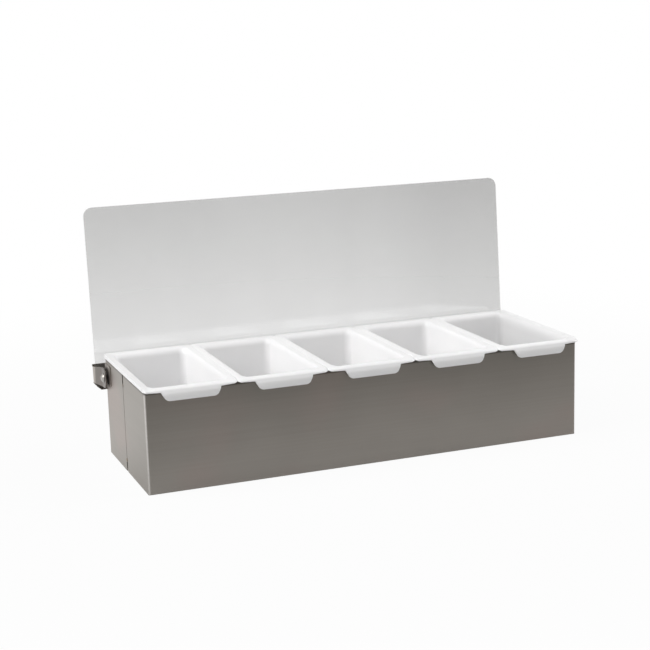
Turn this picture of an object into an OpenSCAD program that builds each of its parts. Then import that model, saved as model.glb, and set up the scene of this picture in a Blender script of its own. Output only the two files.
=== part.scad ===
// Bar condiment caddy: a folded steel box, five lift-out pans and one clear lid on a hinged rail.
// Millimetres, +Z up, +Y to the back. The origin is the middle of the box's underside.

/* [Steel box] */
// Length of the box over its two ends
box_l = 450; // [380:1:620]
// Depth of the box over its front and back
box_w = 157; // [130:1:220]
// Height of the box
box_h = 98.7; // [80:0.1:130]
// Thickness of the steel sheet
sheet_t = 1; // [0.6:0.1:1.2]
// Outside radius of the upright corner bends
corner_r = 2.5; // [1.5:0.1:4]
// Outside radius of the bends along the base
base_r = 2.5; // [1.5:0.1:6]
// Depth of the hem folded inside the top edge
hem_d = 8; // [4:0.5:12]
// Bare sheet left between a hem and the corner
hem_end = 6; // [4.5:0.5:12]
// Height of the base flanges turned up inside the ends
flange_h = 14; // [11:0.5:24]

/* [End seams] */
// Seam's distance behind the middle of the end
seam_y = 5; // [-10:0.5:15]
// Gap between the two halves of an end
seam_gap = 1.2; // [0.6:0.1:2]
// Width of the open slots at the top and foot of a seam
slot_w = 3.6; // [2.2:0.1:6]
// Height of the slot at the top
slot_top = 11; // [9:0.5:16]
// Height of the slot at the foot
slot_foot = 10; // [6:0.5:13]
// Diameter of the tack at each end of the weld
tack_d = 3.4; // [2:0.1:5]
// How far a tack stands proud of the sheet
tack_h = 0.3; // [0.1:0.05:0.5]
// How far the weld lies below the sheet's face
weld_sunk = 0.2; // [0.1:0.05:0.4]

/* [Pans] */
// Height of a pan, rim to underside
pan_h = 85; // [60:1:92]
// Thickness of the pan's walls
pan_t = 2; // [1.2:0.1:3]
// How far a pan's rim stands past the box's end
rim_end = 1.35; // [0.6:0.05:1.7]
// How far the rims stand past the front of the box
rim_front = 6; // [3:0.5:9]
// How far the rims stand past the back of the box
rim_back = 2.6; // [2.2:0.1:3]
// Gap between two neighbouring rims
rim_gap = 0.3; // [0.3:0.05:1]
// Thickness of the rim
rim_t = 3.2; // [2:0.1:4]
// Clearance between the rim and the box's top edge
rim_seat = 0.3; // [0.2:0.05:0.5]
// Radius of the rim's corners seen from above
rim_r = 7; // [4:0.5:16]
// Rounding of the rim's edges
rim_edge = 1.2; // [0.5:0.1:1.4]
// How far the front and back lips hang below the rim
lip_drop = 0.9; // [0.5:0.1:3]
// Thickness of the lips and the tab
lip_t = 1.8; // [1.2:0.1:1.8]
// Width of the rim outside the basin's wall, at a pan's sides
rim_side = 5.5; // [4.5:0.1:9]
// Clearance between the basin and the hems
basin_gap = 1.8; // [0.5:0.1:4]
// Rounding from the rim down into the basin
mouth_r = 3.5; // [2:0.1:4.5]
// Inside radius of the basin's upright corners
basin_r = 7; // [4:0.5:16]
// Rounding where the basin's walls meet its floor
floor_r = 6; // [3:0.5:9]
// How far each wall leans in from mouth to floor
draft = 2.8; // [0:0.1:5]
// Width of the thumb tab at the rim
tab_w = 59; // [40:1:66]
// Width of the thumb tab at its lower edge
tab_foot_w = 48; // [30:1:60]
// Depth of the tab below the rim's top
tab_h = 12.6; // [8:0.5:18]
// Radius of the tab's lower corners
tab_r = 4; // [1:0.5:6]

/* [Hinge] */
// Pivot's distance ahead of the box's back face
pivot_in = 8.5; // [7:0.1:9]
// Pivot's distance below the box's top edge
pivot_down = 19; // [16:0.5:22]
// Diameter of the pivot rivets
pivot_d = 5; // [4:0.1:6]
// Running clearance around a pivot rivet, on the radius
pivot_fit = 0.08; // [0.03:0.01:0.1]
// Side play on each face of an ear
side_play = 0.3; // [0.2:0.05:0.4]
// Diameter of the rivets' domed heads
pivot_head_d = 9.5; // [8:0.1:11]
// Height of the domed heads
pivot_head_h = 2.4; // [1.5:0.1:3]
// Thickness of the plates welded to the box's ends
plate_t = 1; // [0.8:0.1:1.5]
// How far a plate reaches ahead of the pivot
plate_ahead = 14.5; // [10:0.5:22]
// How far a plate reaches behind the pivot
plate_behind = 6; // [5:0.5:6]
// How far a plate reaches above the pivot
plate_above = 14; // [8:0.5:16]
// How far a plate reaches below the pivot
plate_below = 6.5; // [6:0.5:14]
// Radius of the plates' corners
plate_r = 2; // [0.5:0.5:4]
// Diameter of the spacer washers
spacer_d = 12; // [10:0.5:18]
// Thickness of the spacer washers
spacer_t = 2.1; // [1:0.1:3]
// Diameter of the washers inside the box
inner_washer_d = 11; // [10:0.5:14]
// Thickness of the washers inside the box
inner_washer_t = 0.8; // [0.6:0.1:1.2]

/* [Lid] */
// Width of the clear sheet
lid_w = 463.6; // [400:0.1:464.4]
// Height of the clear sheet's top edge above the pivot
lid_reach = 169.5; // [150:0.5:240]
// Thickness of the clear sheet
lid_t = 2; // [1.5:0.1:3]
// Gap between the clear sheet's foot and the stop flange
foot_gap = 0.2; // [0:0.1:1]
// Radius of the clear sheet's outer corners
lid_r = 9; // [3:0.5:20]
// How far back the open lid leans
lid_lean = 4.5; // [0:0.5:8]
// Clearance between the swinging lid and the rims' back edge
lid_swing = 0.3; // [0.3:0.05:1.5]
// Thickness of the rail's sheet
rail_t = 1.2; // [1:0.1:1.5]
// How far the rail runs past each end of the box
rail_end = 9.4; // [8.5:0.1:11]
// Height of the rail above the pivot
rail_up = 10.8; // [9:0.1:14]
// Clearance between the rims' back edge and the rail's stop flange with the lid shut
stop_clear = 1.1; // [0.6:0.1:3]
// Gap between the rail's stop flange and the box's back
stop_gap = 0.3; // [0.2:0.05:0.6]
// How far the rail stands above the ears' roots
rail_over = 2.3; // [0:0.1:3]
// Width of the chamfer on the rail's lower corners
chamfer_w = 4; // [1:0.5:6]
// Height of that chamfer
chamfer_h = 5; // [2:0.1:6]
// Plain end of the rail between an ear's root and the chamfer
root_step = 0.6; // [0.3:0.1:2]
// Radius of the ears' round ends
ear_r = 10; // [9:0.5:11]
// Outside radius of the bend between rail and ear
ear_bend = 2.4; // [1.6:0.1:2.8]
// Outside radius of the bend between rail and stop flange
stop_bend = 2; // [1.6:0.1:2.8]
// Diameter of the rivets that hold the clear sheet
lid_rivet_d = 4; // [3:0.1:5]
// Diameter of their domed heads, behind the rail
lid_head_d = 8; // [7:0.1:10]
// Height of those domed heads
lid_head_h = 1.3; // [0.8:0.1:1.8]
// Diameter of the washers under those heads
lid_washer_d = 11; // [10:0.5:13]
// Thickness of those washers
lid_washer_t = 0.6; // [0.4:0.1:0.8]
// Height of the rivet line above the pivot
lid_rivet_up = 2; // [0:0.5:4]

/* [Hidden] */
$fn = 64;
// Overshoot of a cut past the face it opens
cut = 1;
pan_count = 5;
// Rims side by side fill the box's length and stand past both its ends
pan_pitch = (box_l + 2 * rim_end + rim_gap) / pan_count;
rim_l = pan_pitch - rim_gap;
rim_top = box_h + rim_seat + rim_t;
rim_w = box_w + rim_front + rim_back;
rim_y = (rim_back - rim_front) / 2;
basin_l = rim_l - 2 * rim_side;
basin_w = box_w - 2 * (2 * sheet_t + basin_gap);
pan_foot = rim_top - pan_h;
lip_foot = box_h + rim_seat - lip_drop;
// The hull's own circles are coarser than the true round ones
shell_fn = 32;
// Thickness of the slices that the hulls join
slice_t = 0.01;
// A rounded edge's middle slice stands in by this share of the round
round_in = 0.3;
pivot_y = box_w / 2 - pivot_in;
pivot_z = box_h - pivot_down;
// Fixed holes are this much wider than the rivet, on the radius
snug = 0.03;
// Faces beyond the box's end, from the end outwards
ear_inner = plate_t + spacer_t + side_play;
ear_outer = ear_inner + rail_t;
head_seat = ear_outer + side_play;
// Round of the rims' back edge, its centre seen from the pivot
rim_back_c = [rim_back + pivot_in - rim_edge, rim_top - rim_edge - pivot_z];
// The lid's front face, its underside when it is shut, swings past that round
lid_front = norm(rim_back_c) + rim_edge + lid_swing;
rail_front = lid_front + lid_t;
rail_back = rail_front + rail_t;
rail_half = box_l / 2 + rail_end;
rail_down = pivot_in + rim_back + stop_clear + rail_t;
// The stop flange ends where its lower edge meets the box's back with the lid open
stop_front = (pivot_in + stop_gap + rail_down * sin(lid_lean)) / cos(lid_lean);
// The ear steps in from the rail's end to the pivot between these two places
step_back = lid_front;
step_front = 6.5;
// Where the ear's slanting edges reach the rail
ear_up = rail_up - rail_over;
chamfer_top = chamfer_h - rail_down;
ear_down = -chamfer_top - root_step;
tail_d = 8;
tail_h = 1.2;
// The flush heads take this much of the clear sheet's thickness
sink_h = 0.75 * lid_t;
sink_r = lid_rivet_d / 2 + sink_h;

function pan_x(k) = (k - (pan_count + 1) / 2) * pan_pitch;
function arc(c, r, a0, a1, n = 8) =
    [for (i = [0:n]) c + r * [cos(a0 + (a1 - a0) * i / n), sin(a0 + (a1 - a0) * i / n)]];

// Rectangle with round corners, centred
module rounded(l, w, r) {
    square([l - 2 * r, w], center = true);
    square([l, w - 2 * r], center = true);
    for (sx = [-1, 1], sy = [-1, 1])
        translate([sx * (l / 2 - r), sy * (w / 2 - r)])
            circle(r);
}

// The box's cross-section, round along the base only
module trough(inset) {
    r = base_r - inset;
    half = box_w / 2 - inset;
    translate([-half, inset + r])
        square([2 * half, box_h]);
    translate([-half + r, inset])
        square([2 * half - 2 * r, box_h]);
    for (s = [-1, 1])
        translate([s * (half - r), inset + r])
            circle(r);
}

// Space inside the box's outline, drawn in from the faces by inset
module box_form(inset, top) {
    intersection() {
        linear_extrude(top)
            rounded(box_l - 2 * inset, box_w - 2 * inset, corner_r - inset);
        rotate([90, 0, 90])
            linear_extrude(box_l, center = true)
                trough(inset);
    }
}

// Places a wall's own frame: X along the wall, +Y inwards from its outer face
module at_walls_long() {
    for (turn = [0, 180])
        rotate([0, 0, turn])
            translate([0, -box_w / 2, 0])
                children();
}

// An end's own frame: X runs to the back, +Y inwards from the outer face. side is -1 or 1
module at_end(side) {
    mirror([(side + 1) / 2, 0, 0])
        translate([-box_l / 2, 0, 0])
            rotate([0, 0, 90])
                mirror([0, 1, 0])
                    children();
}

module at_ends() {
    for (side = [-1, 1])
        at_end(side)
            children();
}

// Top edge of a wall from x0 to x1, folded inwards and down on itself
module hem(x0, x1) {
    translate([x0, sheet_t, box_h - hem_d])
        cube([x1 - x0, sheet_t, hem_d - sheet_t]);
    translate([x0, sheet_t, box_h - sheet_t])
        rotate([0, 90, 0])
            cylinder(r = sheet_t, h = x1 - x0);
}

// Room for the round of the fold
module hem_room(x0, x1) {
    translate([x0, -cut, box_h - sheet_t])
        cube([x1 - x0, cut + sheet_t, sheet_t + cut]);
}

module end_hems() {
    hem(-box_w / 2 + hem_end, seam_y - slot_w / 2);
    hem(seam_y + slot_w / 2, box_w / 2 - hem_end);
}

module end_seam() {
    translate([seam_y - seam_gap / 2, -cut, slot_foot - cut])
        cube([seam_gap, cut + sheet_t, box_h]);
    translate([seam_y - slot_w / 2, -cut, box_h - slot_top])
        cube([slot_w, cut + 2 * sheet_t + cut, slot_top + cut]);
    foot_slot();
}

module foot_slot() {
    translate([seam_y - slot_w / 2, -cut, -cut])
        cube([slot_w, 2 * cut + 2 * sheet_t, slot_foot + cut]);
}

// Base flange turned up against the inside of an end
module base_flange() {
    half = box_w / 2 - base_r - sheet_t;
    difference() {
        translate([-half, sheet_t, 0])
            cube([2 * half, sheet_t, flange_h]);
        foot_slot();
    }
}

module body_shell() {
    color([0.62, 0.61, 0.59]) {
        difference() {
            box_form(0, box_h);
            box_form(sheet_t, box_h + cut);
            at_walls_long()
                hem_room(-box_l / 2 + hem_end, box_l / 2 - hem_end);
            at_ends() {
                hem_room(-box_w / 2 + hem_end, seam_y - slot_w / 2);
                hem_room(seam_y + slot_w / 2, box_w / 2 - hem_end);
                end_seam();
            }
            at_pivots()
                translate([0, 0, -2 * sheet_t])
                    cylinder(r = pivot_d / 2 + snug, h = 3 * sheet_t);
        }
        at_walls_long()
            hem(-box_l / 2 + hem_end, box_l / 2 - hem_end);
        at_ends() {
            end_hems();
            base_flange();
        }
    }
}

module seam_weld(side) {
    foot = slot_foot;
    top = box_h - slot_top;
    color([0.72, 0.71, 0.69])
        at_end(side) {
            translate([seam_y - seam_gap / 2, weld_sunk, foot])
                cube([seam_gap, sheet_t - weld_sunk, top - foot]);
            for (z = [foot + tack_d / 2, top - tack_d / 2])
                translate([seam_y, 0, z]) {
                    rotate([90, 0, 0])
                        cylinder(d = tack_d, h = tack_h);
                    translate([-seam_gap / 2, 0, -tack_d / 2])
                        cube([seam_gap, weld_sunk, tack_d]);
                }
        }
}

// A pivot's own frame: +Z points out of the box's end, from its face. side is -1 or 1
module at_pivot(side) {
    translate([side * box_l / 2, pivot_y, pivot_z])
        rotate([0, side * 90, 0])
            children();
}

module at_pivots() {
    for (side = [-1, 1])
        at_pivot(side)
            children();
}

module ring(outer_d, hole_r, h) {
    difference() {
        cylinder(d = outer_d, h = h);
        translate([0, 0, -cut])
            cylinder(r = hole_r, h = h + 2 * cut);
    }
}

// Low round cap: a slice of a sphere, flat side at z = 0
module dome(d, h) {
    r = (d * d / 4 + h * h) / (2 * h);
    intersection() {
        translate([0, 0, h - r])
            sphere(r);
        cylinder(d = d, h = h);
    }
}

module hinge_plate(side) {
    color([0.66, 0.65, 0.63])
        translate([side * (box_l / 2 + plate_t / 2), pivot_y, pivot_z])
            rotate([90, 0, 90])
                difference() {
                    linear_extrude(plate_t, center = true)
                        translate([(plate_behind - plate_ahead) / 2, (plate_above - plate_below) / 2])
                            rounded(plate_ahead + plate_behind, plate_above + plate_below, plate_r);
                    cylinder(r = pivot_d / 2 + snug, h = plate_t + 2 * cut, center = true);
                }
}

module pivot_rivet(side) {
    tail_seat = -sheet_t - inner_washer_t;
    color([0.70, 0.69, 0.67])
        at_pivot(side) {
            translate([0, 0, head_seat])
                dome(pivot_head_d, pivot_head_h);
            translate([0, 0, tail_seat])
                cylinder(d = pivot_d, h = head_seat - tail_seat);
            translate([0, 0, tail_seat - tail_h])
                cylinder(d = tail_d, h = tail_h);
        }
}

module spacer_washer(side) {
    color([0.10, 0.10, 0.10])
        at_pivot(side)
            translate([0, 0, plate_t])
                ring(spacer_d, pivot_d / 2 + snug, spacer_t);
}

module retaining_washer(side) {
    color([0.70, 0.69, 0.67])
        at_pivot(side)
            translate([0, 0, -sheet_t - inner_washer_t])
                ring(inner_washer_d, pivot_d / 2 + snug, inner_washer_t);
}

// Thin slice of a pan: a rounded rectangle for the hulls
module slice(l, w, r, z, y = 0, t = slice_t) {
    translate([0, y, z])
        linear_extrude(t)
            rounded(l, w, r, $fn = shell_fn);
}

module pan_rim() {
    e = rim_edge;
    k = round_in * e;
    hull() {
        slice(rim_l - e, rim_w - e, rim_r - e / 2, rim_top - rim_t, rim_y);
        slice(rim_l, rim_w, rim_r, rim_top - rim_t + e / 2, rim_y, rim_t - 1.5 * e);
        slice(rim_l - 2 * k, rim_w - 2 * k, rim_r - k, rim_top - k, rim_y);
        slice(rim_l - 2 * e, rim_w - 2 * e, rim_r - e, rim_top - slice_t, rim_y);
    }
}

// Lips that hook over the front and back of the box
module pan_lips() {
    intersection() {
        translate([0, rim_y, lip_foot])
            linear_extrude(rim_top - rim_edge - lip_foot)
                difference() {
                    rounded(rim_l, rim_w, rim_r);
                    rounded(rim_l - 2 * lip_t, rim_w - 2 * lip_t, rim_r - lip_t);
                }
        for (s = [-1, 1])
            translate([0, s * (box_w + rim_seat), 0])
                cube([rim_l + cut, box_w, 4 * box_h], center = true);
    }
}

module pan_tab() {
    foot = rim_top - tab_h;
    lean = atan((tab_w - tab_foot_w) / 2 / (rim_top - rim_edge - foot));
    // centre of a lower corner's round, on the right
    c = [tab_foot_w / 2 - tab_r * (1 - sin(lean)) / cos(lean), foot + tab_r];
    corner = arc(c, tab_r, -90, -lean);
    translate([0, -box_w / 2 - rim_front + lip_t, 0])
        rotate([90, 0, 0])
            linear_extrude(lip_t)
                polygon(concat(
                    [[-tab_w / 2, rim_top - rim_edge]],
                    [for (i = [len(corner) - 1:-1:0]) [-corner[i][0], corner[i][1]]],
                    corner,
                    [[tab_w / 2, rim_top - rim_edge]]));
}

// Basin's form from its foot to the rim, drawn in by inset
module basin(inset, foot, top) {
    r = max(basin_r + pan_t - inset, 1);
    f = floor_r + pan_t - inset;
    l = basin_l - 2 * inset;
    w = basin_w - 2 * inset;
    d = 2 * draft;
    k = round_in * f;
    hull() {
        slice(l - d - 2 * f, w - d - 2 * f, r, foot);
        slice(l - d - 2 * k, w - d - 2 * k, r, foot + k);
        slice(l - d, w - d, r, foot + f);
        slice(l, w, r, top);
    }
}

// The mouth flares from the basin's wall to the rim's top
module mouth() {
    steps = 3;
    l = basin_l - 2 * pan_t;
    w = basin_w - 2 * pan_t;
    for (i = [0:steps - 1])
        hull()
            for (a = [i, i + 1] * 90 / steps) {
                out = mouth_r * (1 - cos(a));
                slice(l + 2 * out, w + 2 * out, basin_r, rim_top - mouth_r + mouth_r * sin(a));
            }
}

module pan(k) {
    color([0.95, 0.95, 0.95])
        translate([pan_x(k), 0, 0])
            difference() {
                union() {
                    pan_rim();
                    pan_lips();
                    pan_tab();
                    basin(0, pan_foot, rim_top - rim_edge);
                }
                basin(pan_t, pan_foot + pan_t, rim_top);
                mouth();
            }
}

// The open lid's own frame: origin on the pivots, +Z up the sheet, +Y out of its back
module lid_frame() {
    translate([0, pivot_y, pivot_z])
        rotate([-lid_lean, 0, 0])
            children();
}

// Upright plate from a front outline: y0 is its front face
module upright(y0, t) {
    translate([0, y0 + t, 0])
        rotate([90, 0, 0])
            linear_extrude(t)
                children();
}

module at_lid_rivets(y) {
    for (k = [1:pan_count])
        translate([pan_x(k), y, lid_rivet_up])
            rotate([90, 0, 0])
                children();
}

module lid_sheet() {
    foot = -rail_down + rail_t + foot_gap;
    half = lid_w / 2;
    color([0.80, 0.84, 0.86, 0.45])
        lid_frame()
            difference() {
                upright(lid_front, lid_t) {
                    translate([-half, foot])
                        square([lid_w, lid_reach - lid_r - foot]);
                    translate([-half + lid_r, foot])
                        square([lid_w - 2 * lid_r, lid_reach - foot]);
                    for (s = [-1, 1])
                        translate([s * (half - lid_r), lid_reach - lid_r])
                            circle(lid_r);
                }
                at_lid_rivets(rail_front + cut) {
                    cylinder(r = lid_rivet_d / 2 + snug, h = lid_t + 2 * cut);
                    translate([0, 0, cut + lid_t - sink_h])
                        cylinder(r1 = lid_rivet_d / 2 + snug, r2 = sink_r + snug, h = sink_h);
                }
            }
}

// The ear's path from above, on the right: round the bend, straight, stepped in, straight
module ear_path() {
    x1 = rail_half;
    x0 = box_l / 2 + ear_outer;
    t = rail_t;
    difference() {
        translate([x1 - t, step_back])
            square([t, rail_back - step_back]);
        bend_corner();
    }
    polygon([[x1, step_back], [x1 - t, step_back], [x0 - t, step_front], [x0, step_front]]);
    translate([x0 - t, -ear_r])
        square([t, step_front + ear_r]);
}

// What the bend takes off the square corner between rail and ear
module bend_corner() {
    difference() {
        translate([rail_half - ear_bend, rail_back - ear_bend])
            square(ear_bend + cut);
        translate([rail_half - ear_bend, rail_back - ear_bend])
            circle(ear_bend);
    }
}

// The ear's outline from the side
module ear_side() {
    circle(ear_r);
    polygon([[0, -ear_r], [rail_back, -ear_down], [rail_back, ear_up], [0, ear_r]]);
}

module ear() {
    intersection() {
        translate([0, 0, -box_h])
            linear_extrude(2 * box_h)
                ear_path();
        rotate([90, 0, 90])
            linear_extrude(box_l)
                ear_side();
    }
}

// The rail from the side: an upright strip with the stop flange bent forwards at its foot
module rail_section() {
    difference() {
        translate([stop_front, -rail_down])
            square([rail_back - stop_front, rail_up + rail_down]);
        translate([stop_front - cut, -rail_down + rail_t])
            square([rail_front - stop_front + cut, rail_up + rail_down]);
        difference() {
            translate([rail_back - stop_bend, -rail_down - cut])
                square(stop_bend + cut);
            translate([rail_back - stop_bend, -rail_down + stop_bend])
                circle(stop_bend);
        }
    }
}

// What the chamfer takes off the rail's lower right corner
module rail_chamfer() {
    slope = chamfer_h / chamfer_w;
    right = rail_half + cut;
    left = rail_half - chamfer_w - cut;
    foot = -rail_down - cut * slope;
    upright(stop_front - cut, rail_back - stop_front + 2 * cut)
        polygon([[left, foot], [right, foot], [right, chamfer_top + cut * slope]]);
}

module lid_rail() {
    color([0.60, 0.59, 0.57])
        lid_frame()
            difference() {
                union() {
                    difference() {
                        rotate([90, 0, 90])
                            linear_extrude(2 * rail_half, center = true)
                                rail_section();
                        for (side = [0, 1])
                            mirror([side, 0, 0]) {
                                translate([0, 0, -ear_down])
                                    linear_extrude(ear_up + ear_down)
                                        bend_corner();
                                rail_chamfer();
                            }
                    }
                    for (side = [0, 1])
                        mirror([side, 0, 0])
                            ear();
                }
                at_lid_rivets(rail_back + cut)
                    cylinder(r = lid_rivet_d / 2 + snug, h = rail_t + 2 * cut);
                for (side = [-1, 1])
                    translate([side * (box_l / 2 + ear_inner - cut), 0, 0])
                        rotate([0, side * 90, 0])
                            cylinder(r = pivot_d / 2 + pivot_fit, h = rail_t + 2 * cut);
            }
}

module lid_rivets() {
    grip = lid_washer_t + rail_t + lid_t;
    color([0.72, 0.71, 0.69])
        lid_frame()
            at_lid_rivets(rail_back + lid_washer_t) {
                rotate([180, 0, 0])
                    dome(lid_head_d, lid_head_h);
                cylinder(d = lid_rivet_d, h = grip);
                translate([0, 0, grip - sink_h])
                    cylinder(r1 = lid_rivet_d / 2, r2 = sink_r, h = sink_h);
            }
}

module lid_rivet_washers() {
    color([0.72, 0.71, 0.69])
        lid_frame()
            at_lid_rivets(rail_back + lid_washer_t)
                ring(lid_washer_d, lid_rivet_d / 2 + snug, lid_washer_t);
}

body_shell();
seam_weld(-1);  // seam_weld_left
seam_weld(1);  // seam_weld_right
hinge_plate(-1);  // hinge_plate_left
hinge_plate(1);  // hinge_plate_right
pivot_rivet(-1);  // pivot_rivet_left
pivot_rivet(1);  // pivot_rivet_right
spacer_washer(-1);  // spacer_washer_left
spacer_washer(1);  // spacer_washer_right
retaining_washer(-1);  // retaining_washer_left
retaining_washer(1);  // retaining_washer_right
pan(1);  // pan_1
pan(2);  // pan_2
pan(3);  // pan_3
pan(4);  // pan_4
pan(5);  // pan_5
lid_sheet();
lid_rail();
lid_rivets();
lid_rivet_washers();
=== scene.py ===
import math
import bmesh
import bpy
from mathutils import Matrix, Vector


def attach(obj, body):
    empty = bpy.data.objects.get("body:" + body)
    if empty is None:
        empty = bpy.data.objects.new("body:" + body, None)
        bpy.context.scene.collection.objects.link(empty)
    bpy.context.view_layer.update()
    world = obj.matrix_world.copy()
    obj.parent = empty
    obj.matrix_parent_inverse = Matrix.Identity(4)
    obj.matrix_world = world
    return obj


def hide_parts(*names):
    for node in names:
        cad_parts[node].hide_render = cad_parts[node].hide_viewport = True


# A bar condiment caddy: a steel box, five white lift-out pans and a clear lid on a hinged rail.
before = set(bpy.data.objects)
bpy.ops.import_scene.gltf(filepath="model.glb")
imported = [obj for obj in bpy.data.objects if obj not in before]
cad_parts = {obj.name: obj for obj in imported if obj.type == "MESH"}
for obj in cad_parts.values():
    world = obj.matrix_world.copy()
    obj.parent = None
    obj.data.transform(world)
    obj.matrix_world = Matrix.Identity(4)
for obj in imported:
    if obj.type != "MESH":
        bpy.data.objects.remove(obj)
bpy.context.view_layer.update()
mm = 0.001
hair, close = 0.01, 0.1  # mm: less than any edge, and less than any step in an outline
sharp = math.radians(50)  # an edge that turns more than this is rounded
print("frame loaded")


def deselectAll():
    if bpy.context.object and bpy.context.object.mode == "EDIT":
        bpy.ops.object.mode_set(mode="OBJECT")
    bpy.ops.object.select_all(action="DESELECT")


def pick(kind, rule):  # in edit mode, selects the VERTs, EDGEs or FACEs that pass the rule
    bpy.ops.mesh.select_mode(type=kind)
    bpy.ops.mesh.select_all(action="DESELECT")
    data = bpy.context.object.data
    mesh = bmesh.from_edit_mesh(data)
    parts = {"VERT": mesh.verts, "EDGE": mesh.edges, "FACE": mesh.faces}[kind]
    for part in parts:
        if rule(part):
            part.select_set(True)
    mesh.select_flush_mode()
    bmesh.update_edit_mesh(data)


def middle(edge):
    return (edge.verts[0].co + edge.verts[1].co) / 2


def applyModifier(piece, kind, **settings):
    modifier = piece.modifiers.new(kind.lower(), kind)
    for name, value in settings.items():
        setattr(modifier, name, value)
    bpy.ops.object.modifier_apply(modifier=modifier.name)


def takeUp(piece):
    deselectAll()
    piece.select_set(True)
    bpy.context.view_layer.objects.active = piece


def settle(piece):  # puts the piece's place into its mesh
    takeUp(piece)
    bpy.ops.object.transform_apply(location=True, rotation=True, scale=True)


class Wire:  # a node's socket that takes arithmetic
    def __init__(self, tree, socket=None):
        self.tree, self.socket = tree, socket

    def node(self, kind, inputs=None, output=0, **settings):
        made = self.tree.nodes.new(kind)
        for name, value in settings.items():
            setattr(made, name, value)
        for name, value in (inputs or {}).items():
            if isinstance(value, Wire):
                self.tree.links.new(value.socket, made.inputs[name])
            elif value is not None:
                made.inputs[name].default_value = value
        return Wire(self.tree, made.outputs[output])

    def sum(self, operation, first, second=None):
        return self.node("ShaderNodeMath", {0: first, 1: second}, operation=operation)

    def __add__(self, other):
        return self.sum("ADD", self, other)

    def __sub__(self, other):
        return self.sum("SUBTRACT", self, other)

    def __rsub__(self, other):
        return self.sum("SUBTRACT", other, self)

    def __mul__(self, other):
        return self.sum("MULTIPLY", self, other)

    __radd__, __rmul__ = __add__, __mul__

    def within(self, low, high):  # 0 at low, 1 at high, and smooth between them
        return self.node("ShaderNodeMapRange", {0: self, 1: low, 2: high},
                         interpolation_type="SMOOTHSTEP")

    def noise(self, stretch, detail=3, place=(0, 0, 0)):  # place keeps two patterns from lining up
        moved = self.node("ShaderNodeMapping", {0: self, "Scale": stretch, "Location": place})
        return self.node("ShaderNodeTexNoise", {0: moved, "Scale": 1, "Detail": detail})

    def between(self, first, second):  # a colour, by this share of the second
        first, second = [(*c, 1) if isinstance(c, tuple) else c for c in (first, second)]
        return self.node("ShaderNodeMix", {0: self, 6: first, 7: second}, output=2, data_type="RGBA")

    def bump(self, depth, over=None):  # a normal, on top of another one where there is one
        return self.node("ShaderNodeBump", {"Height": self, "Distance": depth, "Strength": 1, "Normal": over})

    def along(self, axis):  # 0 across, 1 in depth, 2 in height
        return self.node("ShaderNodeSeparateXYZ", {0: self}, output=axis)


def toned(colour, share):
    return tuple(channel * share for channel in colour)


def newMaterial(name):
    material = bpy.data.materials.new(name)
    material.use_nodes = True
    return material, Wire(material.node_tree).node("ShaderNodeTexCoord", output="Object")


def fillShader(material, values):
    shader = material.node_tree.nodes["Principled BSDF"]
    for name, value in values.items():
        if isinstance(value, Wire):
            material.node_tree.links.new(value.socket, shader.inputs[name])
        else:
            shader.inputs[name].default_value = value


def dress(piece, material, smoothAngle=30):
    takeUp(piece)
    piece.data.materials.clear()
    piece.data.materials.append(material)
    bpy.ops.object.shade_smooth_by_angle(angle=math.radians(smoothAngle))


cameraSet = {"lens": 81.517, "sensor": 36.0,
             "place": (-0.53065, -1.34865, 0.43473), "turn": (77.8899, 1.617, -21.1964)}


def placeCamera(a):
    deselectAll()
    bpy.ops.object.camera_add(location=a["place"], rotation=[math.radians(t) for t in a["turn"]])
    camera = bpy.context.object
    camera.data.lens = a["lens"]
    camera.data.sensor_width = a["sensor"]
    bpy.context.scene.camera = camera


placeCamera(cameraSet)
print("camera placed")

steelSet = {
    "light": (0.386, 0.360, 0.332), "dark": (0.332, 0.311, 0.284), "warm": (0.400, 0.344, 0.318),
    "grain": (18, 18, 2600), "streak": (3, 3, 420), "streakSpan": (0.2, 0.8), "grainDepth": 0.000012,
    "blotch": (7, 7, 11), "blotchSpan": (0.3, 0.7), "tint": (11, 11, 16), "tintSpan": (0.50, 0.72),
    "wave": (8, 8, 8), "waveDepth": 0.00035, "wornShade": 0.93, "wornShare": 0.35,
    "roughness": 0.36, "grainRough": 0.10, "blotchRough": 0.06,
    "rimShade": 0.60, "darkened": (0.0950, 0.0968),  # painted shade in a band under the pans' rims
    "stain": (0.0930, 0.0890),  # on the rail's two ears
    # the bright colour and the narrow band here are a painted highlight along the box's upright bends
    "wearAndHighlight": (0.62, 0.60, 0.58), "highlightEven": 0.6, "depthShare": 0.6, "paintedHighlight": (0.27062, 0.27080),
}


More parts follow.
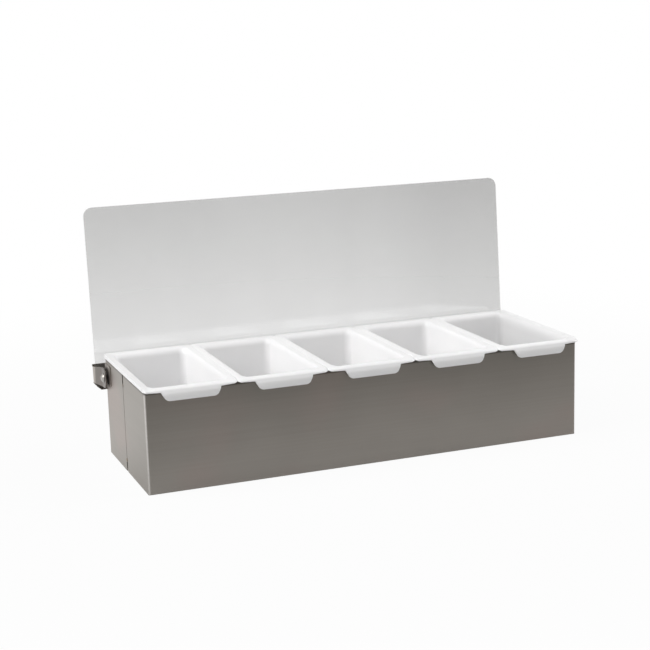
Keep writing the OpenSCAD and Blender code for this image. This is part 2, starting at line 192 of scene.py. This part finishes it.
def brushedSteel(name, a, lightness=1.0, roughness=0.0, paintedHighlight=0.0, stain=0.0):
    material, at = newMaterial(name)
    grain = at.noise(a["grain"], detail=4)
    streak = at.noise(a["streak"], detail=2, place=(5, 2, 0))
    blotch = at.noise(a["blotch"], detail=2, place=(1.7, 0, 0.4))
    tint = at.noise(a["tint"], detail=1, place=(4.1, 2, 2.3))
    light, dark, warm = [toned(a[key], lightness) for key in ("light", "dark", "warm")]
    colour = tint.within(*a["tintSpan"]).between(blotch.within(*a["blotchSpan"]).between(dark, light), warm)
    shade = (grain * 0.5 + streak * 0.5).within(*a["streakSpan"])
    worn = shade.between(toned(dark, a["wornShade"]), light)
    rough = a["roughness"] + roughness + grain * a["grainRough"] + blotch * a["blotchRough"]
    wave = at.noise(a["wave"], detail=1).bump(a["waveDepth"])
    fine = (grain + streak).bump(a["grainDepth"], over=wave)
    mixed = at.node("ShaderNodeMix", {0: a["wornShare"], 6: colour, 7: worn}, output=2, data_type="RGBA")
    outward = at.sum("ABSOLUTE", at.along(0)) + at.sum("ABSOLUTE", at.along(1)) * a["depthShare"]
    even = a["highlightEven"] + streak * (1 - a["highlightEven"])
    bends = outward.within(*a["paintedHighlight"]) * even * paintedHighlight  # painted highlight along the box's upright bends
    ends = at.along(1).within(*a["stain"]) * stain
    # painted shade under the pans' rims, and the stain on the rail's ears, darken the colour towards black
    darkened = at.sum("MAXIMUM", at.along(2).within(*a["darkened"]) * a["rimShade"], ends)
    colour = darkened.between(bends.between(mixed, a["wearAndHighlight"]), (0, 0, 0))
    fillShader(material, {"Base Color": colour, "Metallic": 1, "Roughness": rough, "Normal": fine})
    return material


weldSet = {"bead": (0.20, 0.19, 0.18), "straw": (0.30, 0.23, 0.14), "tint": (40, 40, 60),
           "tintSpan": (0.4, 0.7), "ripple": (400, 400, 900), "rippleDepth": 0.0001,
           "roughness": 0.42, "rippleRough": 0.12}


def weldMetal(a):
    material, at = newMaterial("weldBead")
    ripple = at.noise(a["ripple"], detail=2)
    tint = at.noise(a["tint"], detail=2).within(*a["tintSpan"]).between(a["bead"], a["straw"])
    rough = a["roughness"] + ripple * a["rippleRough"]
    fillShader(material, {"Base Color": tint, "Metallic": 1, "Roughness": rough,
                          "Normal": ripple.bump(a["rippleDepth"])})
    return material


rivetSet = {"colour": (0.42, 0.41, 0.39), "stained": (0.28, 0.26, 0.24), "stain": (260, 260, 260),
            "stainSpan": (0.45, 0.75), "scuff": (900, 900, 900), "scuffDepth": 0.00003,
            "roughness": 0.20, "scuffRough": 0.16}


def rivetMetal(a):
    material, at = newMaterial("rivetSteel")
    scuff = at.noise(a["scuff"], detail=4)
    stain = at.noise(a["stain"], detail=3).within(*a["stainSpan"])
    rough = a["roughness"] + scuff * a["scuffRough"]
    fillShader(material, {"Base Color": stain.between(a["colour"], a["stained"]), "Metallic": 1,
                          "Roughness": rough, "Normal": scuff.bump(a["scuffDepth"])})
    return material


nylonSet = {"colour": (0.018, 0.018, 0.019), "wearAndHighlight": (0.040, 0.040, 0.042), "rubSpan": (0.45, 0.75),
            "skin": (1500, 1500, 1500), "skinDepth": 0.00002, "roughness": 0.45, "skinRough": 0.15}


def blackNylon(a):
    material, at = newMaterial("blackNylon")
    skin = at.noise(a["skin"], detail=3)
    rough = a["roughness"] + skin * a["skinRough"]
    fillShader(material, {"Base Color": skin.within(*a["rubSpan"]).between(a["colour"], a["wearAndHighlight"]),
                          "Roughness": rough, "Normal": skin.bump(a["skinDepth"])})
    return material


plasticSet = {
    "colour": (0.935, 0.930, 0.930), "cool": (0.918, 0.916, 0.920),
    "cloud": (14, 14, 20), "cloudSpan": (0.35, 0.65), "skin": (1100, 1100, 1100), "skinDepth": 0.000012,
    "rubs": (60, 420, 60), "rubSpan": (0.55, 0.80), "index": 1.49,
    "roughness": 0.30, "skinRough": 0.08, "rubRough": 0.10,
    # thin, thinBelow and thinRim: painted shade on the last pan's outer wall, less at its rim
    "thinShade": 0.24, "thin": (0.2115, 0.2150), "thinBelow": (0.1030, 0.0880), "thinRim": 0.25,
    "outerShade": 0.09, "outer": (-0.2185, -0.2225),
}


def whitePlastic(a):
    material, at = newMaterial("whitePlastic")
    skin = at.noise(a["skin"], detail=3)
    cloud = at.noise(a["cloud"], detail=2)
    rubs = at.noise(a["rubs"], detail=3, place=(3, 1, 0)).within(*a["rubSpan"])
    wall = a["thinRim"] + at.along(2).within(*a["thinBelow"]) * (1 - a["thinRim"])
    thin = at.along(0).within(*a["thin"]) * wall * a["thinShade"]  # painted shade: the last pan's outer wall is darkened, less at its rim, for the steel showing through the thin plastic
    outer = at.along(0).within(*a["outer"]) * a["outerShade"]  # painted shade: the first pan's outer rim is a little darker
    white = cloud.within(*a["cloudSpan"]).between(a["colour"], a["cool"])
    colour = (thin + outer).between(white, (0, 0, 0))
    rough = a["roughness"] + skin * a["skinRough"] + rubs * a["rubRough"]
    fillShader(material, {"Base Color": colour, "Roughness": rough, "IOR": a["index"],
                          "Normal": skin.bump(a["skinDepth"])})
    return material


sheetSet = {
    "thin": 0.112, "full": 0.262, "rise": (0.105, 0.240),  # the haze's cover at the foot and at the top, and between which heights; the haze is the sheet's own, its rise with height is painted shade
    "rightShade": 0.065, "rightShadeSpan": (0.02, 0.22),  # painted shade: more of the haze's cover towards the right
    "tone": (0.36, 0.36, 0.35), "toneShade": 0.94, "toneRough": 0.5,
    "streak": (16, 3, 1.2), "streakShare": 0.035,
    "haze": (9, 9, 9), "hazeShare": 0.03, "hazeSpan": (0.3, 0.7),
    "scratch": (700, 700, 40), "scratchSpan": (0.6, 0.85), "scratchRough": 0.10,
    "roughness": 0.085, "index": 1.75,
}


def clearSheet(a):  # see-through, a little hazy, with its own gloss over the haze
    material, at = newMaterial("clearSheet")
    tree = material.node_tree
    low, high = a["rise"]
    rise = at.node("ShaderNodeMapRange", {0: at.along(2), 1: low, 2: high})
    streak = at.noise(a["streak"], detail=2, place=(0.8, 0, 0))
    haze = at.noise(a["haze"], detail=3, place=(2, 0, 1))
    # painted shade: more haze higher up, so the lid is darker towards its top
    cover = a["thin"] + rise * (a["full"] - a["thin"])
    cover = cover + (streak - 0.5) * a["streakShare"] + (haze - 0.5) * a["hazeShare"]
    # painted shade: more haze towards the right
    cover = cover + at.along(0).within(*a["rightShadeSpan"]) * a["rightShade"]
    tone = haze.within(*a["hazeSpan"]).between(a["tone"], toned(a["tone"], a["toneShade"]))
    fillShader(material, {"Base Color": tone, "Roughness": a["toneRough"], "Specular IOR Level": 0})
    scratch = at.noise(a["scratch"], detail=3).within(*a["scratchSpan"])
    rough = a["roughness"] + scratch * a["scratchRough"]
    gloss = at.node("ShaderNodeBsdfGlossy", {"Color": (1, 1, 1, 1), "Roughness": rough})
    clear = at.node("ShaderNodeBsdfTransparent", {"Color": (1, 1, 1, 1)})
    body = Wire(tree, tree.nodes["Principled BSDF"].outputs[0])
    hazy = at.node("ShaderNodeMixShader", {0: cover, 1: clear, 2: body})
    inside = at.node("ShaderNodeNewGeometry", output="Backfacing")  # its far side shines like its near side
    shine = at.node("ShaderNodeFresnel", {"IOR": a["index"] + inside * (1 / a["index"] - a["index"])})
    mixed = at.node("ShaderNodeMixShader", {0: shine, 1: hazy, 2: gloss})
    tree.links.new(mixed.socket, tree.nodes["Material Output"].inputs["Surface"])
    return material


steel = brushedSteel("brushedSteel", steelSet, paintedHighlight=1.0)
railSteel = brushedSteel("railSteel", steelSet, lightness=1.25, roughness=-0.08, stain=0.55)
weld = weldMetal(weldSet)
rivetSteel = rivetMetal(rivetSet)
nylon = blackNylon(nylonSet)
plastic = whitePlastic(plasticSet)
clear = clearSheet(sheetSet)
print("finishes made")

# in mm; an extent is half the width, then the y of the front and of the back
panSet = {
    "count": 5, "pitch": 90.6, "wall": 1.9, "edgeRound": 0.45, "cornerSteps": 10,
    "floor": (29.0, -64.0, 64.0), "floorTop": 19.2, "floorCorner": 2.0, "floorRound": 6.0,
    "foot": (34.5, -69.9, 68.2), "footCorner": 6.5,
    "mouth": (36.5, -72.4, 69.4), "mouthCorner": 7.5, "mouthRound": 7.0,
    "crown": (39.4, -76.0, 75.6), "crownCorner": 6.5, "rimTop": 102.2, "crownDome": 0.2,
    "roll": (45.0, -78.6, 79.3), "rollCorner": 4.7, "rollDrop": 3.3, "rollTurn": 50,
    "edge": (45.28, -82.9, 81.0), "edgeCorner": 5.0,
    "sinkFrom": (-73.0, -74.2, -75.4), "sinkShare": 0.86,
    "lipDrop": 0.9, "lipEnd": 44.0, "lipFrom": 78.7,
    "tabHalf": 29.0, "tabFoot": 24.3, "tabDrop": 8.5, "tabCorner": 3.2,
    "tabRoot": [(0.25, 0.985, 0.19), (0.45, 0.989, 0.30), (0.9, 0.987, 0.46),  # drop, width kept, outward
                (1.0, 0.988, 0.34), (1.6, 0.968, 0.25), (1.8, 0.963, 0.06)],
    "floorSteps": 6, "mouthSteps": 8, "rollSteps": 6, "lipSteps": 8, "tabCornerSteps": 7, "edgeSteps": 3,
}


def addRing(extent, corner, z, first=False):  # a rounded rectangle of edges, bridged to the last one
    half, front, back = extent
    centre = (0, (front + back) / 2 * mm, z * mm)
    bpy.ops.mesh.select_all(action="DESELECT")
    bpy.ops.mesh.primitive_plane_add(size=1, location=centre)
    bpy.ops.transform.resize(value=(2 * half * mm, (back - front) * mm, 1), center_override=centre)
    bpy.ops.mesh.bevel(offset=corner * mm, segments=panSet["cornerSteps"], affect="VERTICES")
    pick("FACE", lambda face: len(face.verts) > 4)
    bpy.ops.mesh.delete(type="ONLY_FACE")
    if first:
        return
    floorEdge = (panSet["floorTop"] + hair) * mm
    pick("EDGE", lambda edge: edge.is_wire or edge.is_boundary and middle(edge).z > floorEdge)
    bpy.ops.mesh.bridge_edge_loops()


def mixExtent(first, second, share):
    return tuple(f + (s - f) * share for f, s in zip(first, second))


def makePan(a):
    deselectAll()
    bpy.ops.mesh.primitive_plane_add(size=1)
    piece = bpy.context.object
    piece.name = "panMould"
    bpy.ops.object.mode_set(mode="EDIT")
    bpy.ops.mesh.delete(type="VERT")
    addRing(a["floor"], a["floorCorner"], a["floorTop"], first=True)
    for step in range(1, a["floorSteps"] + 1):  # the round between floor and wall
        turn = math.radians(90 * step / a["floorSteps"])
        out, up = math.sin(turn), 1 - math.cos(turn)
        corner = a["floorCorner"] + (a["footCorner"] - a["floorCorner"]) * out
        addRing(mixExtent(a["floor"], a["foot"], out), corner, a["floorTop"] + a["floorRound"] * up)
    for step in range(a["mouthSteps"] + 1):  # the mouth, from wall to crown
        turn = math.radians(90 * step / a["mouthSteps"])
        out, up = 1 - math.cos(turn), math.sin(turn)
        corner = a["mouthCorner"] + (a["crownCorner"] - a["mouthCorner"]) * out
        low = a["rimTop"] - a["crownDome"] - a["mouthRound"]
        addRing(mixExtent(a["mouth"], a["crown"], out), corner, low + a["mouthRound"] * up)
    last = math.radians(a["rollTurn"])
    for step in range(a["rollSteps"] + 1):  # over the rim's outer edge
        turn = last * step / a["rollSteps"]
        out, down = math.sin(turn) / math.sin(last), (1 - math.cos(turn)) / (1 - math.cos(last))
        corner = a["rollCorner"] + (a["edgeCorner"] - a["rollCorner"]) * out
        addRing(mixExtent(a["roll"], a["edge"], out), corner, a["rimTop"] - a["rollDrop"] * down)
    for side in (-1, 1):  # cuts where the tab's sides will start
        pick("FACE", lambda face: face.calc_center_median().y < -a["lipFrom"] * mm)
        bpy.ops.mesh.bisect(plane_co=(side * a["tabHalf"] * mm, 0, 0), plane_no=(1, 0, 0))
    pick("EDGE", lambda edge: edge.is_boundary and middle(edge).z < (a["floorTop"] + hair) * mm)
    bpy.ops.mesh.edge_face_add()
    sinkFront(a)
    lowerLips(a)
    drawTab(a)
    bpy.ops.mesh.select_all(action="SELECT")
    bpy.ops.mesh.remove_doubles(threshold=hair * mm)
    bpy.ops.mesh.normals_make_consistent(inside=False)
    mesh = bmesh.from_edit_mesh(piece.data)
    floor = min(mesh.faces, key=lambda face: face.calc_center_median().z)
    if floor.normal.z < 0:
        bpy.ops.mesh.flip_normals()
    bpy.ops.object.mode_set(mode="OBJECT")
    applyModifier(piece, "SOLIDIFY", thickness=a["wall"] * mm, offset=-1)
    applyModifier(piece, "BEVEL", width=a["edgeRound"] * mm, segments=a["edgeSteps"],
                  limit_method="ANGLE", angle_limit=sharp)
    return piece


def sinkFront(a):  # the front rim's top is a little lower than the rest
    level = (0, 0, (a["rimTop"] - a["rollDrop"]) * mm)
    for reach in a["sinkFrom"]:
        pick("VERT", lambda vert: vert.co.y < reach * mm)
        bpy.ops.transform.resize(value=(1, 1, a["sinkShare"]), center_override=level)


def lowerLips(a):  # front and back edges hang lower in their middle than at the corners
    slope = (a["lipEnd"] - a["tabHalf"]) / a["lipSteps"]
    for step in range(a["lipSteps"]):
        reach = a["lipEnd"] - slope * (step + 0.5)
        pick("VERT", lambda vert: vert.is_boundary and abs(vert.co.x) <= reach * mm
             and abs(vert.co.y) > a["lipFrom"] * mm)
        bpy.ops.transform.translate(value=(0, 0, -a["lipDrop"] / a["lipSteps"] * mm))


def drawTab(a):  # short steps at its root, which finish the roll, and one long face
    outerEdge = a["edge"][1] * mm
    foot = (a["rimTop"] - a["rollDrop"] - a["lipDrop"] - a["tabDrop"]) * mm
    rootDrop = sum(drop for drop, kept, outward in a["tabRoot"])
    rootFoot = a["tabHalf"] * math.prod(kept for drop, kept, outward in a["tabRoot"])
    face = (a["tabDrop"] - rootDrop, a["tabFoot"] / rootFoot, 0)
    pick("EDGE", lambda edge: edge.is_boundary and abs(middle(edge).x) < a["tabHalf"] * mm
         and all(vert.co.y < outerEdge + close * mm for vert in edge.verts))
    for drop, kept, outward in a["tabRoot"] + [face]:
        bpy.ops.mesh.extrude_edges_move(TRANSFORM_OT_translate={"value": (0, -outward * mm, -drop * mm)})
        bpy.ops.transform.resize(value=(kept, 1, 1), center_override=(0, 0, 0))
    pick("VERT", lambda vert: vert.co.z < foot + close * mm and vert.co.y < outerEdge)
    bpy.ops.mesh.bevel(offset=a["tabCorner"] * mm, segments=a["tabCornerSteps"], affect="VERTICES")


mould = makePan(panSet)
print("pan moulded, faces:", len(mould.data.polygons))
for number in range(1, panSet["count"] + 1):
    takeUp(mould)
    bpy.ops.object.duplicate()
    pan = bpy.context.object
    pan.name = f"panTray{number}"
    pan.location.x = (number - (panSet["count"] + 1) / 2) * panSet["pitch"] * mm
    settle(pan)
    dress(pan, plastic, smoothAngle=40)
    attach(pan, f"pan_{number}")
    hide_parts(f"pan_{number}")
bpy.data.objects.remove(mould)
print("pans placed")

lidSet = {"width": 463.6, "front": 25.02, "back": 26.98, "foot": -12.0, "reach": 169.5,
          "corner": 9.0, "cornerSteps": 12, "edgeRound": 0.3, "edgeSteps": 2,
          "pivot": (0, 70.0, 79.7), "lean": 4.5}


def makeLidSheet(a):
    deselectAll()
    centre = (0, (a["front"] + a["back"]) / 2 * mm, (a["foot"] + a["reach"]) / 2 * mm)
    bpy.ops.mesh.primitive_cube_add(size=1, location=centre)
    piece = bpy.context.object
    piece.name = "lidSheet"
    piece.scale = (a["width"] * mm, (a["back"] - a["front"]) * mm, (a["reach"] - a["foot"]) * mm)
    settle(piece)
    bpy.ops.object.mode_set(mode="EDIT")
    top = a["reach"] * mm
    pick("EDGE", lambda edge: abs(edge.verts[0].co.y - edge.verts[1].co.y) > mm
         and abs(middle(edge).z - top) < close * mm)
    bpy.ops.mesh.bevel(offset=a["corner"] * mm, segments=a["cornerSteps"], affect="EDGES")
    bpy.ops.object.mode_set(mode="OBJECT")
    applyModifier(piece, "BEVEL", width=a["edgeRound"] * mm, segments=a["edgeSteps"],
                  limit_method="ANGLE", angle_limit=sharp)
    piece.rotation_euler.x = math.radians(-a["lean"])
    piece.location = [c * mm for c in a["pivot"]]
    settle(piece)
    return piece


lidSheet = makeLidSheet(lidSet)
dress(lidSheet, clear, smoothAngle=15)  # the two faces stay flat, so they mirror truly
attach(lidSheet, "lid")
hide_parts("lid_sheet")
print("lid sheet made")

keptFinishes = {  # the metal and nylon parts stay as the frame gives them
    "body_shell": steel, "hinge_plate_left": steel, "hinge_plate_right": steel,
    "seam_weld_left": weld, "seam_weld_right": weld, "lid_rail": railSteel,
    "pivot_rivet_left": rivetSteel, "pivot_rivet_right": rivetSteel,
    "retaining_washer_left": rivetSteel, "retaining_washer_right": rivetSteel,
    "lid_rivets": rivetSteel, "lid_rivet_washers": rivetSteel,
    "spacer_washer_left": nylon, "spacer_washer_right": nylon,
}
for node, finish in keptFinishes.items():
    dress(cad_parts[node], finish)
print("metal parts dressed")

stageSet = {
    "floorSize": 12.0, "floorDrop": 0.0003, "floorColour": (0.62, 0.62, 0.617),
    "grain": (300, 300, 300), "grainShade": 0.99, "roughness": 0.9, "sheen": 0.1,
    "seenWhite": 0.95, "fade": (0.35, 0.95),  # how white the floor looks, and where it turns all white
    "mirrored": (0.09, 0.34, 1.0),  # how bright a mirroring face sees it far in front, near, and behind
    "mirrorFar": (-0.45, -0.20), "mirrorBack": (-0.10, 0.15), "mirrorLeft": (-0.30, -0.42),
    "mirrorDim": 0.22, "ambient": 0.10,
    "cardDistance": 0.42, "cardSize": (4.0, 1.6), "cardColour": (0.118, 0.106, 0.092),
}


def raySorts(tree):  # which rays come from the camera, from a mirroring face and through a clear one
    sorts = ("Is Camera Ray", "Is Glossy Ray", "Is Transmission Ray")
    return [Wire(tree).node("ShaderNodeLightPath", output=sort) for sort in sorts]


def makeFloor(a):
    deselectAll()
    bpy.ops.mesh.primitive_plane_add(size=a["floorSize"], location=(0, 0, -a["floorDrop"]))
    floor = bpy.context.object
    floor.name = "floor"
    material, at = newMaterial("floorPaper")
    tree = material.node_tree
    camera, glossy, through = raySorts(tree)
    reach = at.node("ShaderNodeVectorMath", {0: at}, output=1, operation="LENGTH")
    white = a["seenWhite"] + reach.within(*a["fade"]) * (1 - a["seenWhite"])
    dim, near, bright = a["mirrored"]
    lit = at.sum("MAXIMUM", at.along(1).within(*a["mirrorBack"]), at.along(0).within(*a["mirrorLeft"]))
    mirrored = dim + at.along(1).within(*a["mirrorFar"]) * (near - dim) + lit * (bright - near)
    seen = at.sum("MAXIMUM", camera, through) * white + glossy * mirrored
    grain = at.noise(a["grain"], detail=2).between(a["floorColour"], toned(a["floorColour"], a["grainShade"]))
    dimmed = glossy * (1 - lit) * a["mirrorDim"]
    fillShader(material, {"Base Color": dimmed.between(grain, (0, 0, 0)), "Roughness": a["roughness"],
                          "Specular IOR Level": a["sheen"]})
    glow = at.node("ShaderNodeEmission", {"Color": (1, 1, 1, 1), "Strength": 1})
    paper = Wire(tree, tree.nodes["Principled BSDF"].outputs[0])
    mixed = at.node("ShaderNodeMixShader", {0: seen, 1: paper, 2: glow})
    tree.links.new(mixed.socket, tree.nodes["Material Output"].inputs["Surface"])
    floor.data.materials.append(material)


def makeSurroundings(a):  # white where it is looked at, and a dim light everywhere else
    world = bpy.data.worlds.new("studio")
    world.use_nodes = True
    tree = world.node_tree
    tree.nodes.remove(tree.nodes["Background"])
    camera, glossy, through = raySorts(tree)
    seen = camera.sum("MAXIMUM", camera.sum("MAXIMUM", camera, through), glossy)
    soft = camera.node("ShaderNodeBackground", {"Color": (1, 1, 1, 1), "Strength": a["ambient"]})
    white = camera.node("ShaderNodeBackground", {"Color": (1, 1, 1, 1), "Strength": 1})
    mixed = camera.node("ShaderNodeMixShader", {0: seen, 1: soft, 2: white})
    tree.links.new(mixed.socket, tree.nodes["World Output"].inputs["Surface"])
    bpy.context.scene.world = world


def makeCard(a):  # a dim card in front, which only reflections see
    deselectAll()
    width, height = a["cardSize"]
    bpy.ops.mesh.primitive_plane_add(size=1, location=(0, -a["cardDistance"], height / 2),
                                     rotation=(math.radians(90), 0, 0))
    card = bpy.context.object
    card.name = "frontCard"
    card.scale = (width, height, 1)
    settle(card)
    material = newMaterial("cardPaper")[0]
    fillShader(material, {"Base Color": (0, 0, 0, 1), "Specular IOR Level": 0,
                          "Emission Color": (*a["cardColour"], 1), "Emission Strength": 1})
    card.data.materials.append(material)
    card.visible_camera = card.visible_diffuse = card.visible_shadow = card.visible_transmission = False


lampSet = {
    "key": {"place": (-5.2, -0.2, 3.4), "size": 4.4, "power": 223},
    "over": {"place": (-3.0, -0.2, 5.0), "size": 4.4, "power": 147},
    "right": {"place": (5.2, -0.5, 3.0), "size": 4.4, "power": 230},
    "front": {"place": (0.5, -5.5, 2.6), "size": 4.0, "power": 26},
}
lampAim = (0, 0, 0.05)


def addLamp(name, a):
    deselectAll()
    turn = (Vector(lampAim) - Vector(a["place"])).to_track_quat("-Z", "Y").to_euler()
    bpy.ops.object.light_add(type="AREA", location=a["place"], rotation=turn)
    lamp = bpy.context.object
    lamp.name = name
    lamp.data.size = a["size"]
    lamp.data.energy = a["power"]
    lamp.visible_camera = False


makeFloor(stageSet)
makeSurroundings(stageSet)
makeCard(stageSet)
for name, lamp in lampSet.items():
    addLamp(name, lamp)
bpy.context.scene.view_settings.view_transform = "Standard"
print("stage set")
